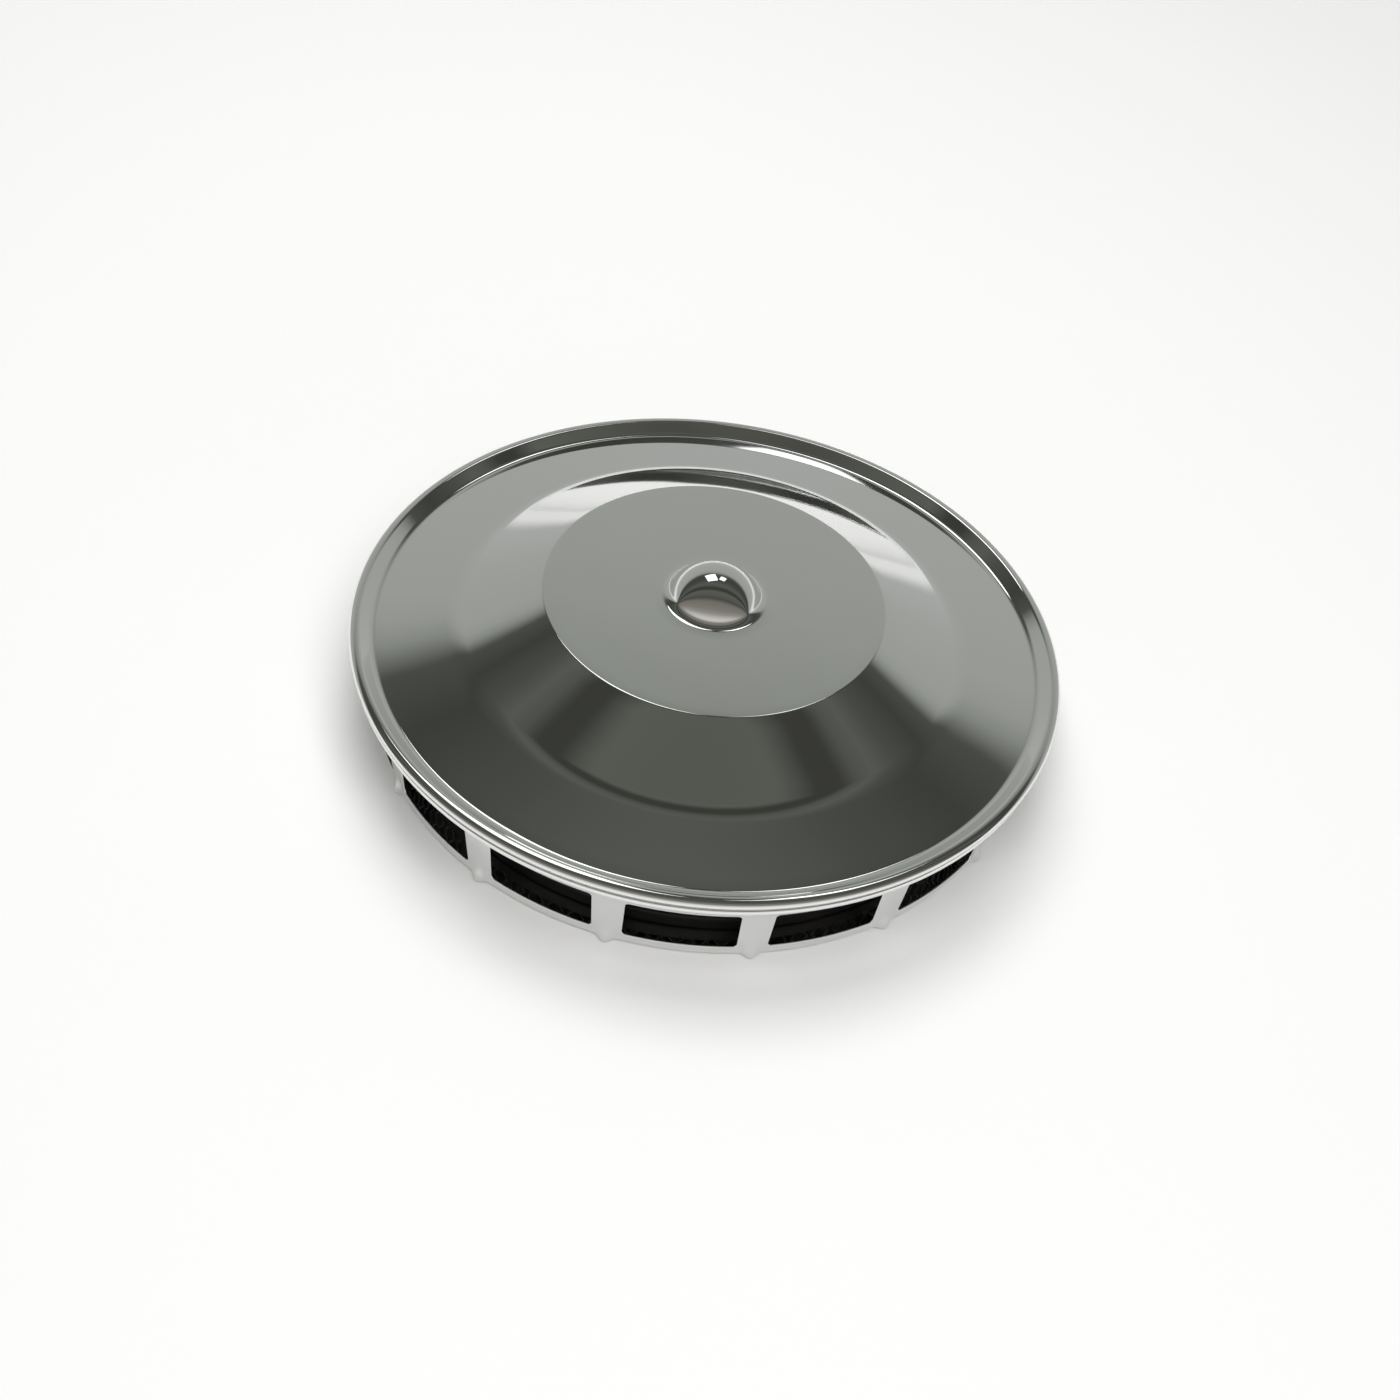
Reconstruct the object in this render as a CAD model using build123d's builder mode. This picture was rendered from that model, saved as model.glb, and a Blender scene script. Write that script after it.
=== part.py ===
"""Round engine air cleaner: a domed lid on a windowed base pan, with a pleated ring filter inside.

Millimetres, +Z up. The origin is on the axis, on the plane that the base's floor rests on.
"""
import os
from math import cos, pi, radians, sin, sqrt, tan

from build123d import *

# Sheet steel of the lid and the base
SHEET = 0.9

# Base pan: rim, tapering wall and floor, each radius measured inward from the lid's edge
RIM_SETBACK = 1.2
RIM_WIDTH = 7.0
RIM_HEIGHT = 47.2
RIM_HEM = 4.2
RIM_CURL = 3.2
RIM_EDGE_RADIUS = 2.0
SHOULDER_RADIUS = 2.4
WALL_TAPER = 6.6
FLOOR_CORNER_RADIUS = 3.1

# Raised deck in the middle of the base, with the neck that slips over the carburettor's air horn
RISER_GAP = 6.0
RISER_RUN = 8.0
RISER_BEND_RADIUS = 4.0
DECK_HEIGHT = 14.0
NECK_RADIUS = 65.3
NECK_DEPTH = 12.0
NECK_BEND_RADIUS = 2.5

# Windows in the wall, and the bump pressed at the foot of each post between them
WINDOW_COUNT = 15
WINDOW_WIDTH = 53.6
WINDOW_HEIGHT = 24.2
WINDOW_SILL = 7.4
WINDOW_CORNER_RADIUS = 2.0
BUMP_WIDTH = 8.4
BUMP_HEIGHT = 5.0
BUMP_REACH = 3.2
BUMP_TIP_SHARE = 0.3
BUMP_DROP_ANGLE = 20.0

# Lid: bead, valley, outer ring, cone, plateau and dome, each height measured from the one before
LID_RADIUS = 177.8
LID_CLEARANCE = 1.5
BEAD_HEIGHT = 3.9
BEAD_WIDTH = 5.0
BEAD_EDGE_RADIUS = 3.2
BEAD_INNER_RADIUS = 2.5
VALLEY_SETBACK = 11.3
VALLEY_DEPTH = 5.2
VALLEY_BEND_RADIUS = 4.0
RING_WIDTH = 40.5
CONE_FOOT_RISE = 10.1
CONE_FOOT_BEND_RADIUS = 40.0
CONE_RUN = 41.2
PLATEAU_RISE = 21.5
PLATEAU_EDGE_RADIUS = 2.0
DOME_HEIGHT = 15.6
DOME_CROWN_RADIUS = 24.0
DOME_FOOT_RADIUS = 5.5
DOME_FLANK_ANGLE = 60.0
DOME_CROWN_FLAT = 0.5

# Nut plate under the dome and the nut for a quarter-inch stud
PLATE_RADIUS = 38.0
PLATE_THICKNESS = 1.5
STUD_CLEARANCE = 0.4
STUD_RADIUS = 3.175
THREAD_DEPTH = 0.6
NUT_FLATS = 11.1
NUT_HEIGHT = 5.6

# Filter element, which stands clear of the wall and round the deck's riser
FILTER_GAP = 15.0
FILTER_DEPTH = 28.0
SEAL_HEIGHT = 8.0
SEAL_CLEARANCE = 0.3
SCREEN_INSET = 2.4
SCREEN_THICKNESS = 0.6
SLOT_COUNT = 36
SLOT_SHARE = 0.7
SLOT_MARGIN = 4.0
PLEAT_COUNT = 120
PAPER_THICKNESS = 0.5
PAPER_CLEARANCE = 0.3

# Gasket round the neck
GASKET_WIDTH = 10.0
GASKET_THICKNESS = 3.0
GASKET_CLEARANCE = 0.3

# Radii, heights and places that follow from the sizes above
rim_radius = LID_RADIUS - RIM_SETBACK
wall_top_radius = rim_radius - RIM_WIDTH
wall_foot_radius = wall_top_radius - WALL_TAPER
filter_outer_radius = wall_foot_radius - FILTER_GAP
filter_inner_radius = filter_outer_radius - FILTER_DEPTH
riser_foot_radius = filter_inner_radius - RISER_GAP
riser_top_radius = riser_foot_radius - RISER_RUN
valley_radius = LID_RADIUS - VALLEY_SETBACK
cone_foot_radius = valley_radius - RING_WIDTH
plateau_radius = cone_foot_radius - CONE_RUN
wall_top_inside = wall_top_radius - SHEET
wall_foot_inside = wall_foot_radius - SHEET
wall_slope = (wall_top_radius - wall_foot_radius) / RIM_HEIGHT
window_pitch = 360 / WINDOW_COUNT
first_post_angle = -90.0
window_middle_height = WINDOW_SILL + WINDOW_HEIGHT / 2
window_middle_radius = wall_foot_radius + wall_slope * window_middle_height
neck_bottom = DECK_HEIGHT - NECK_DEPTH

lid_hem_height = RIM_HEIGHT + LID_CLEARANCE
bead_top = lid_hem_height + BEAD_HEIGHT
valley_height = bead_top - VALLEY_DEPTH
cone_foot_height = valley_height + CONE_FOOT_RISE
plateau_height = cone_foot_height + PLATEAU_RISE
dome_top = plateau_height + DOME_HEIGHT
dome_crown_radius = DOME_CROWN_FLAT + DOME_CROWN_RADIUS * tan(radians(DOME_FLANK_ANGLE / 2))
dome_foot_radius = dome_crown_radius + DOME_HEIGHT / tan(radians(DOME_FLANK_ANGLE))
ring_slope = CONE_FOOT_RISE / (valley_radius - cone_foot_radius)
ring_sheet_height = SHEET * sqrt(1 + ring_slope**2)

plate_top = plateau_height - SHEET

seal_bottom = SHEET
pleat_bottom = seal_bottom + SEAL_HEIGHT


def seal_top(radius):
    """Height of the top seal's face, parallel to the underside of the lid's outer ring."""
    lid_top = valley_height + ring_slope * (valley_radius - radius)
    return lid_top - ring_sheet_height - SEAL_CLEARANCE


pleat_top = seal_top(filter_outer_radius) - SEAL_HEIGHT
outer_screen_radius = filter_outer_radius - SCREEN_INSET
inner_screen_radius = filter_inner_radius + SCREEN_INSET + SCREEN_THICKNESS
paper_outer_radius = outer_screen_radius - SCREEN_THICKNESS - PAPER_CLEARANCE
paper_inner_radius = inner_screen_radius + PAPER_CLEARANCE


def finish(builder, name):
    """Labels a finished piece and writes its file."""
    builder.part.label = name
    export_step(builder.part, f"parts/{name}.step")


os.makedirs("parts", exist_ok=True)

# One window's cutter, on the +X axis, square to the wall's radius
with BuildPart() as window_cutter:
    window_plane = Plane(
        origin=(window_middle_radius, 0, window_middle_height), x_dir=(0, 1, 0), z_dir=(1, 0, 0)
    )
    with BuildSketch(window_plane):
        RectangleRounded(WINDOW_WIDTH, WINDOW_HEIGHT, WINDOW_CORNER_RADIUS)
    extrude(amount=WINDOW_WIDTH / 4, both=True)

# One pressed bump, on the +X axis, leaning down and out from the floor's rounded corner
with BuildPart() as foot_bump:
    corner_radius = FLOOR_CORNER_RADIUS + SHEET
    bump_out = (cos(radians(BUMP_DROP_ANGLE)), 0, -sin(radians(BUMP_DROP_ANGLE)))
    bump_root = corner_radius - SHEET / 2
    bump_plane = Plane(
        origin=(
            wall_foot_radius - corner_radius + bump_root * bump_out[0],
            0,
            corner_radius + bump_root * bump_out[2],
        ),
        x_dir=(0, 1, 0),
        z_dir=bump_out,
    )
    with BuildSketch(bump_plane):
        Ellipse(BUMP_WIDTH / 2, BUMP_HEIGHT / 2)
    with BuildSketch(bump_plane.offset(BUMP_REACH)):
        Ellipse(BUMP_WIDTH / 2 * BUMP_TIP_SHARE, BUMP_HEIGHT / 2 * BUMP_TIP_SHARE)
    loft()

# Base: one stamping from the turned-under rim, down the wall and across the floor to the neck
with BuildPart() as base:
    with BuildSketch(Plane.XZ):
        with BuildLine():
            FilletPolyline(
                (rim_radius - RIM_CURL, RIM_HEIGHT - RIM_HEM),
                (rim_radius, RIM_HEIGHT - RIM_HEM),
                (rim_radius, RIM_HEIGHT),
                (wall_top_inside, RIM_HEIGHT),
                (wall_foot_inside, SHEET),
                (riser_foot_radius, SHEET),
                (riser_top_radius, DECK_HEIGHT),
                (NECK_RADIUS, DECK_HEIGHT),
                (NECK_RADIUS, neck_bottom),
                radius=[
                    RIM_EDGE_RADIUS,
                    RIM_EDGE_RADIUS,
                    SHOULDER_RADIUS,
                    FLOOR_CORNER_RADIUS,
                    RISER_BEND_RADIUS,
                    RISER_BEND_RADIUS,
                    NECK_BEND_RADIUS,
                ],
            )
            offset(amount=SHEET, side=Side.LEFT)
        make_face()
    revolve(axis=Axis.Z)
    with PolarLocations(0, WINDOW_COUNT, start_angle=first_post_angle):
        add(foot_bump.part)
    with PolarLocations(0, WINDOW_COUNT, start_angle=first_post_angle + window_pitch / 2):
        add(window_cutter.part, mode=Mode.SUBTRACT)
finish(base, "base")

# Lid: one stamping from the dome's crown out to the turned-down bead
with BuildPart() as lid:
    with BuildSketch(Plane.XZ):
        with BuildLine():
            FilletPolyline(
                (0, dome_top),
                (dome_crown_radius, dome_top),
                (dome_foot_radius, plateau_height),
                (plateau_radius, plateau_height),
                (cone_foot_radius, cone_foot_height),
                (valley_radius, valley_height),
                (LID_RADIUS - BEAD_WIDTH, bead_top),
                (LID_RADIUS, bead_top),
                (LID_RADIUS, lid_hem_height),
                radius=[
                    DOME_CROWN_RADIUS,
                    DOME_FOOT_RADIUS,
                    PLATEAU_EDGE_RADIUS,
                    CONE_FOOT_BEND_RADIUS,
                    VALLEY_BEND_RADIUS,
                    BEAD_INNER_RADIUS,
                    BEAD_EDGE_RADIUS,
                ],
            )
            offset(amount=SHEET, side=Side.RIGHT)
        make_face()
    revolve(axis=Axis.Z)
finish(lid, "lid")

# Plate spot-welded under the plateau, closing the dome from below
with BuildPart() as nut_plate:
    with BuildSketch(Plane.XY.offset(plate_top)):
        Circle(PLATE_RADIUS)
        Circle(STUD_RADIUS + STUD_CLEARANCE, mode=Mode.SUBTRACT)
    extrude(amount=-PLATE_THICKNESS)
finish(nut_plate, "nut_plate")

# Hexagon nut welded on the plate, inside the dome
with BuildPart() as stud_nut:
    with BuildSketch(Plane.XY.offset(plate_top)):
        RegularPolygon(NUT_FLATS / 2, 6, major_radius=False)
        Circle(STUD_RADIUS - THREAD_DEPTH, mode=Mode.SUBTRACT)
    extrude(amount=NUT_HEIGHT)
finish(stud_nut, "stud_nut")

# End seals: a flat ring on the base's floor, and one whose upper face follows the lid's slope
with BuildPart() as filter_bottom_seal:
    with BuildSketch(Plane.XY.offset(seal_bottom)):
        Circle(filter_outer_radius)
        Circle(filter_inner_radius, mode=Mode.SUBTRACT)
    extrude(amount=SEAL_HEIGHT)
finish(filter_bottom_seal, "filter_bottom_seal")

with BuildPart() as filter_top_seal:
    with BuildSketch(Plane.XZ):
        with BuildLine():
            Polyline(
                (filter_inner_radius, pleat_top),
                (filter_outer_radius, pleat_top),
                (filter_outer_radius, seal_top(filter_outer_radius)),
                (filter_inner_radius, seal_top(filter_inner_radius)),
                close=True,
            )
        make_face()
    revolve(axis=Axis.Z)
finish(filter_top_seal, "filter_top_seal")


def star_points(valley_radius, tip_radius):
    """Corners of the folded paper's zigzag, two for each pleat, tip and valley in turn."""
    half_pitch = pi / PLEAT_COUNT
    corners = []
    for index in range(2 * PLEAT_COUNT):
        radius = tip_radius if index % 2 == 0 else valley_radius
        corners.append((radius * cos(index * half_pitch), radius * sin(index * half_pitch)))
    return corners


# Pleated paper: the ring between one zigzag and the same zigzag moved inward
pleat_depth = paper_outer_radius - paper_inner_radius
flank_run = pi * (paper_outer_radius + paper_inner_radius) / 2 / PLEAT_COUNT
paper_step = PAPER_THICKNESS * sqrt(pleat_depth**2 + flank_run**2) / flank_run
with BuildPart() as filter_paper:
    with BuildSketch(Plane.XY.offset(pleat_bottom)):
        with BuildLine():
            Polyline(star_points(paper_inner_radius + paper_step, paper_outer_radius), close=True)
        make_face()
        with BuildLine():
            Polyline(star_points(paper_inner_radius, paper_outer_radius - paper_step), close=True)
        make_face(mode=Mode.SUBTRACT)
    extrude(amount=pleat_top - pleat_bottom)
finish(filter_paper, "filter_paper")


def build_screen(outside_radius):
    """A pierced steel tube between the two seals, with one ring of tall slots."""
    height = pleat_top - pleat_bottom
    slot_width = 2 * pi * outside_radius / SLOT_COUNT * SLOT_SHARE
    with BuildPart() as screen:
        with BuildSketch(Plane.XY.offset(pleat_bottom)):
            Circle(outside_radius)
            Circle(outside_radius - SCREEN_THICKNESS, mode=Mode.SUBTRACT)
        extrude(amount=height)
        middle = pleat_bottom + height / 2
        with PolarLocations(outside_radius, SLOT_COUNT):
            with Locations((0, 0, middle)):
                Box(4 * SCREEN_THICKNESS, slot_width, height - 2 * SLOT_MARGIN, mode=Mode.SUBTRACT)
    return screen


filter_outer_screen = build_screen(outer_screen_radius)
finish(filter_outer_screen, "filter_outer_screen")
filter_inner_screen = build_screen(inner_screen_radius)
finish(filter_inner_screen, "filter_inner_screen")

# Flat rubber ring under the deck, round the neck
gasket_inner_radius = NECK_RADIUS + NECK_BEND_RADIUS + GASKET_CLEARANCE
with BuildPart() as neck_gasket:
    with BuildSketch(Plane.XY.offset(DECK_HEIGHT - SHEET)):
        Circle(gasket_inner_radius + GASKET_WIDTH)
        Circle(gasket_inner_radius, mode=Mode.SUBTRACT)
    extrude(amount=-GASKET_THICKNESS)
finish(neck_gasket, "neck_gasket")
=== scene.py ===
"""Round bright-plated engine air cleaner, dressed over its packed frame.

A domed lid stands on a windowed base pan, with a pleated ring filter between them. Every new piece is
a surface worked out with numpy, in metres, in the frame's own coordinates: +Z up along the axis, with
the origin on the plane that the base rests on.
"""
import math

import bmesh
import bpy
import numpy as np
from bpy.props import FloatProperty, FloatVectorProperty, IntProperty, PointerProperty
from mathutils import Matrix, Vector


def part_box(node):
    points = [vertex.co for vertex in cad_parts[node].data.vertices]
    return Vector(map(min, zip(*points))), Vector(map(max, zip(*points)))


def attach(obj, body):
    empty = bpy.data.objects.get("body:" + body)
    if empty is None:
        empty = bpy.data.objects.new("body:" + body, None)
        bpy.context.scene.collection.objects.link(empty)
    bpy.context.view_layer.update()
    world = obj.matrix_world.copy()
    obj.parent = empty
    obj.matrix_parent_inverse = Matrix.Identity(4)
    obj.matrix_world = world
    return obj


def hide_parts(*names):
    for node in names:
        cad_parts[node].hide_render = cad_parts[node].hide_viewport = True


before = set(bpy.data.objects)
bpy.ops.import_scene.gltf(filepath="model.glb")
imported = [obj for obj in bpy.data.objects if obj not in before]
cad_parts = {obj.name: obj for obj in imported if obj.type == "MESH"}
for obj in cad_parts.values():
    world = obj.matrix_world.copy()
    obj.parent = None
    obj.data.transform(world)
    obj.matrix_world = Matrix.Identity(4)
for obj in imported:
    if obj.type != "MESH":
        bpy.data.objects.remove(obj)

bl_info = {
    "name": "Engine Air Cleaner",
    "version": (1, 0, 0),
    "blender": (4, 5, 0),
    "location": "3D View > Sidebar > Air Cleaner",
    "description": "Builds a round bright-plated air cleaner with its filter and a plain studio",
    "category": "Add Mesh",
}

MM = 0.001
MERGE_DISTANCE = 2e-6
EDGE_STEPS = 7
RING_SEGMENTS = 240
GASKET_SEGMENTS = 200
STRAND_CLIMB_STEPS = 37
FLOOR_RINGS, FLOOR_SEGMENTS, FLOOR_DROP = 12, 64, 0.0001
CAMERA_SENSOR, CAMERA_REACH = 36.0, 60.0
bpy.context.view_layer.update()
_, LID_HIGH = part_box("lid")
_, BASE_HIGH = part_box("base")
TOP_SEAL_LOW, TOP_SEAL_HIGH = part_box("filter_top_seal")
BOTTOM_SEAL_LOW, BOTTOM_SEAL_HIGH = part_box("filter_bottom_seal")
OUTER_SCREEN_LOW, OUTER_SCREEN_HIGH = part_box("filter_outer_screen")
INNER_SCREEN_LOW, INNER_SCREEN_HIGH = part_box("filter_inner_screen")
GASKET_LOW, GASKET_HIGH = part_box("neck_gasket")


def length(name, millimetres, description):
    """A length property whose default is given in millimetres."""
    return FloatProperty(name=name, description=description, default=millimetres * MM, min=0.0,
                         precision=5, unit="LENGTH")


def angle(name, degrees, description):
    """An angle property whose default is given in degrees."""
    return FloatProperty(name=name, description=description, default=math.radians(degrees),
                         unit="ROTATION", subtype="ANGLE")


def colour(name, rgb, description):
    """A linear colour property."""
    return FloatVectorProperty(name=name, description=description, default=rgb, size=3, min=0.0,
                               max=1.0, subtype="COLOR")


class LidSizes(bpy.types.PropertyGroup):
    """Sizes of the lid's section, from the bead at its edge to the dome in its middle."""
    sheet: length("Sheet", 0.9, "Thickness of the sheet steel")
    bead_width: length("Bead width", 5.0, "Flat width of the bead at the lid's edge")
    bead_height: length("Bead height", 3.3, "Height of the bead above its hem")
    bead_edge: length("Bead edge", 3.2, "Radius of the bead's outer edge")
    bead_inner: length("Bead inner", 2.5, "Radius of the bead's inner edge")
    valley_setback: length("Valley setback", 11.3, "Distance from the lid's edge to the valley's line")
    valley_depth: length("Valley depth", 5.2, "Depth of the valley below the bead")
    valley_bend: length("Valley bend", 4.0, "Radius of the bend in the valley")
    ring_width: length("Ring width", 40.5, "Width of the sloping ring between valley and cone")
    ring_rise: length("Ring rise", 10.1, "Rise of the sloping ring")
    cone_bend: length("Cone bend", 40.0, "Radius of the bend at the cone's foot")
    cone_run: length("Cone run", 41.2, "Width of the cone in plan")
    plateau_rise: length("Plateau rise", 21.5, "Rise of the cone up to the plateau")
    plateau_edge: length("Plateau edge", 2.0, "Radius of the plateau's edge")
    dome_height: length("Dome height", 15.6, "Height of the dome above the plateau")
    dome_crown: length("Dome crown", 24.0, "Radius of the dome's crown")
    dome_foot: length("Dome foot", 5.5, "Radius of the bend round the dome's foot")
    dome_flat: length("Dome flat", 0.5, "Radius of the flat spot at the top of the dome")
    dome_flank: angle("Dome flank", 60.0, "Slope of the dome's flank")
    segments: IntProperty(name="Segments", description="Steps round the lid", default=360, min=24)


class BaseSizes(bpy.types.PropertyGroup):
    """Sizes of the base pan: rim, windowed wall, floor, deck and neck."""
    sheet: length("Sheet", 0.9, "Thickness of the sheet steel")
    rim_hem: length("Rim hem", 4.2, "Height of the rim's turned-under hem")
    rim_curl: length("Rim curl", 3.2, "How far the hem is turned back under the rim")
    rim_edge: length("Rim edge", 2.0, "Radius of the rim's outer edges")
    rim_width: length("Rim width", 7.0, "Width of the rim outside the wall")
    shoulder: length("Shoulder", 2.4, "Radius of the bend between rim and wall")
    wall_taper: length("Wall taper", 6.6, "How much narrower the wall is at its foot")
    floor_corner: length("Floor corner", 3.1, "Radius of the bend between wall and floor")
    riser_foot: length("Riser foot", 114.0, "Radius at the foot of the deck's riser")
    riser_top: length("Riser top", 106.0, "Radius at the top of the deck's riser")
    riser_bend: length("Riser bend", 4.0, "Radius of the riser's bends")
    deck_height: length("Deck height", 14.0, "Height of the deck's upper face")
    neck_radius: length("Neck radius", 65.3, "Inside radius of the neck")
    neck_depth: length("Neck depth", 12.0, "Depth of the neck below the deck")
    neck_bend: length("Neck bend", 2.5, "Radius of the bend between deck and neck")
    windows: IntProperty(name="Windows", description="Number of windows in the wall", default=15, min=3)
    window_width: length("Window width", 53.6, "Width of a window")
    window_height: length("Window height", 25.4, "Height of a window")
    window_sill: length("Window sill", 7.4, "Height of a window's lower edge")
    window_corner: length("Window corner", 2.0, "Radius of a window's corners")
    window_border: length("Window border", 2.2, "Width of the fine mesh round a window")
    edge_round: length("Edge round", 0.25, "How far a cut edge is rounded off")
    bump_width: length("Bump width", 10.5, "Width of the bump pressed at the foot of a post")
    bump_height: length("Bump height", 5.6, "Height of that bump, along the floor's corner")
    bump_reach: length("Bump reach", 3.2, "How far that bump stands out")
    bump_drop: angle("Bump drop", 20.0, "How far the bump leans down")
    bump_fade: FloatProperty(name="Bump fade", description="How much longer the bump is up the post",
                             default=3.0, min=1.0)


class FilterSizes(bpy.types.PropertyGroup):
    """Sizes of the filter element and the gasket."""
    depth: length("Depth", 28.0, "Radial depth of the element")
    seal_round: length("Seal round", 1.6, "Radius of the end seals' edges")
    gasket_round: length("Gasket round", 0.5, "Radius of the gasket's edges")
    gasket_width: length("Gasket width", 10.0, "Radial width of the gasket")
    strands: IntProperty(name="Strands", description="Strands round the expanded screen", default=168,
                         min=12)
    strand_width: length("Strand width", 0.9, "Width of a strand of the expanded screen")
    strand_depth: length("Strand depth", 0.5, "Depth of a strand of the expanded screen")
    cells: FloatProperty(name="Cells", description="Diamonds over the screen's height", default=4.5,
                         min=0.5)
    band: length("Band", 1.4, "Height of the screen's plain end bands")


class Finishes(bpy.types.PropertyGroup):
    """Colours of the finishes."""
    plating: colour("Plating", (0.80, 0.805, 0.795), "Bright plating")
    plating_haze: colour("Plating haze", (0.77, 0.775, 0.77), "Bright plating where it is hazier")
    # Seal colour is near black: the seals' own dark colour, darkened further as painted shade for the
    # shadowed inside of the pan behind the windows
    zinc: colour("Zinc", (0.58, 0.57, 0.53), "Zinc plating of the nut and its plate")
    seal: colour("Seal", (0.008, 0.008, 0.008), "Moulded end seals")
    # Paper colour is near black: a dark filter medium, darkened further as painted shade for the shadowed
    # inside of the pan behind the windows
    paper: colour("Paper", (0.03, 0.028, 0.026), "Pleated paper")
    # Screen colour is near black: black paint on the screens, darkened further as painted shade for the
    # shadowed inside of the pan behind the windows
    screen: colour("Screen", (0.010, 0.010, 0.0105), "Painted screens")
    rubber: colour("Rubber", (0.025, 0.025, 0.026), "Gasket")


class StudioSettings(bpy.types.PropertyGroup):
    """Camera and light of the plain studio."""
    aim_height: length("Aim height", 50.0, "Height of the point on the axis that the camera is set by")
    distance: length("Distance", 1212.0, "Distance from the camera to that point")
    elevation: angle("Elevation", 42.15, "Height of the camera above the horizon")
    azimuth: angle("Azimuth", 9.37, "Turn of the camera to the right of the front")
    roll: angle("Roll", 8.6, "Roll of the camera")
    focal_pixels: FloatProperty(name="Focal pixels", description="Focal length in pixels", default=2427.0)
    image_pixels: FloatProperty(name="Image pixels", description="Side of the square image", default=1400.0)
    aim_pixel: FloatVectorProperty(name="Aim pixel", description="Pixel where the aimed point lands",
                                   default=(708.2, 639.1), size=2)
    floor_radius: length("Floor radius", 9000.0, "Radius of the floor")
    floor_colour: colour("Floor colour", (0.95, 0.95, 0.95), "Pale floor")
    floor_reach: length("Floor reach", 1050.0, "Radius where the pale floor begins to fade")
    floor_fade: length("Floor fade", 2600.0, "Radius where it has faded to the horizon's tone")
    horizon_tone: colour("Horizon tone", (0.88, 0.88, 0.87), "Pale tone of the horizon all round")
    horizon_rise: FloatProperty(name="Horizon rise", description="Rise where the pale horizon ends",
                                default=0.07)


# Tones of the studio along the arch from the far horizon over the top to the front, by degrees
ARCH = (
    (0, (0.48, 0.49, 0.48)), (15, (0.42, 0.435, 0.41)), (36, (0.395, 0.41, 0.385)),
    (41, (0.365, 0.38, 0.355)), (44.5, (0.285, 0.30, 0.275)), (49, (0.08, 0.085, 0.075)),
    (58, (0.055, 0.058, 0.051)), (70, (0.08, 0.085, 0.075)), (77, (0.115, 0.12, 0.106)),
    (82, (0.095, 0.099, 0.088)), (86, (0.05, 0.052, 0.046)), (91, (0.05, 0.052, 0.046)),
    (96, (0.12, 0.125, 0.11)), (106, (0.105, 0.11, 0.096)), (113, (0.08, 0.08, 0.071)),
    (122, (0.20, 0.187, 0.168)), (140, (0.25, 0.235, 0.212)), (150, (0.34, 0.325, 0.30)),
    (159, (0.66, 0.645, 0.615)), (180, (0.90, 0.89, 0.87)))


# Lamps that only light the floor and the matt pieces: name, place, side and watts
SOFT_LAMPS = (("front_lamp", (0.5, -1.2, 2.4), 2.0, 47.0), ("back_lamp", (-0.5, 0.9, 2.3), 1.6, 25.0))
# Lamps that the dome mirrors: name, turn and rise in degrees as the dome sees them, side and watts
WINDOW_LAMPS = (("left_window", -19.0, 58.0, 0.48, 1.30), ("right_window", 17.0, 57.0, 0.26, 0.38))
WINDOW_DISTANCE = 1.5


# Shapes


def rounded_line(corners, radii, arc_steps=8, flat_step=0.02):
    """Points and left-hand normals along a broken line whose inner corners are rounded.

    Each corner gives an arc that touches both its sides; the arc's normal turns evenly from one side's
    normal to the other's. Straight runs are divided so that no step is longer than flat_step.
    """
    corners = np.asarray(corners, float)
    sides = np.diff(corners, axis=0)
    directions = sides / np.linalg.norm(sides, axis=1)[:, None]
    points, headings = [corners[:1]], [np.arctan2(directions[:1, 1], directions[:1, 0])]
    last = corners[0]
    for index, radius in enumerate(radii):
        before, after = directions[index], directions[index + 1]
        turn = math.atan2(before[0] * after[1] - before[1] * after[0], before @ after)
        start = corners[index + 1] - before * radius * math.tan(abs(turn) / 2)
        heading = math.atan2(before[1], before[0])
        runs = max(1, math.ceil(np.linalg.norm(start - last) / flat_step))
        shares = np.linspace(0, 1, runs + 1)[1:, None]
        points.append(last + (start - last) * shares)
        headings.append(np.full(runs, heading))
        steps = np.linspace(0, turn, arc_steps + 1)[1:]
        side = math.copysign(1.0, turn)
        centre = start + radius * side * np.array([-before[1], before[0]])
        spokes = np.stack([np.sin(heading + steps), -np.cos(heading + steps)], 1)
        points.append(centre + radius * side * spokes)
        headings.append(heading + steps)
        last = points[-1][-1]
    end = corners[-1]
    runs = max(1, math.ceil(np.linalg.norm(end - last) / flat_step))
    points.append(last + (end - last) * np.linspace(0, 1, runs + 1)[1:, None])
    headings.append(np.full(runs, headings[-1][-1]))
    points, headings = np.concatenate(points), np.concatenate(headings)
    return points, np.stack([-np.sin(headings), np.cos(headings)], 1)


def rounded_ring(corners, radius, arc_steps=5, flat_step=0.01):
    """Points round a closed outline whose corners all have the same radius."""
    corners = np.asarray(corners, float)
    middle = (corners[:1] + corners[-1:]) / 2
    line = np.concatenate([middle, corners, middle])
    points, _ = rounded_line(line, [radius] * len(corners), arc_steps, flat_step)
    return points[:-1]


def grid_faces(rows, columns, close_rows=False, close_columns=False):
    """Quads of a grid of points numbered row by row; a closed side joins its last line to its first."""
    row = np.arange(rows if close_rows else rows - 1)
    column = np.arange(columns if close_columns else columns - 1)
    row, column = np.meshgrid(row, column, indexing="ij")
    next_row, next_column = (row + 1) % rows, (column + 1) % columns
    quads = np.stack([row * columns + column, row * columns + next_column,
                      next_row * columns + next_column, next_row * columns + column], -1)
    return quads.reshape(-1, 4)


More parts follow.
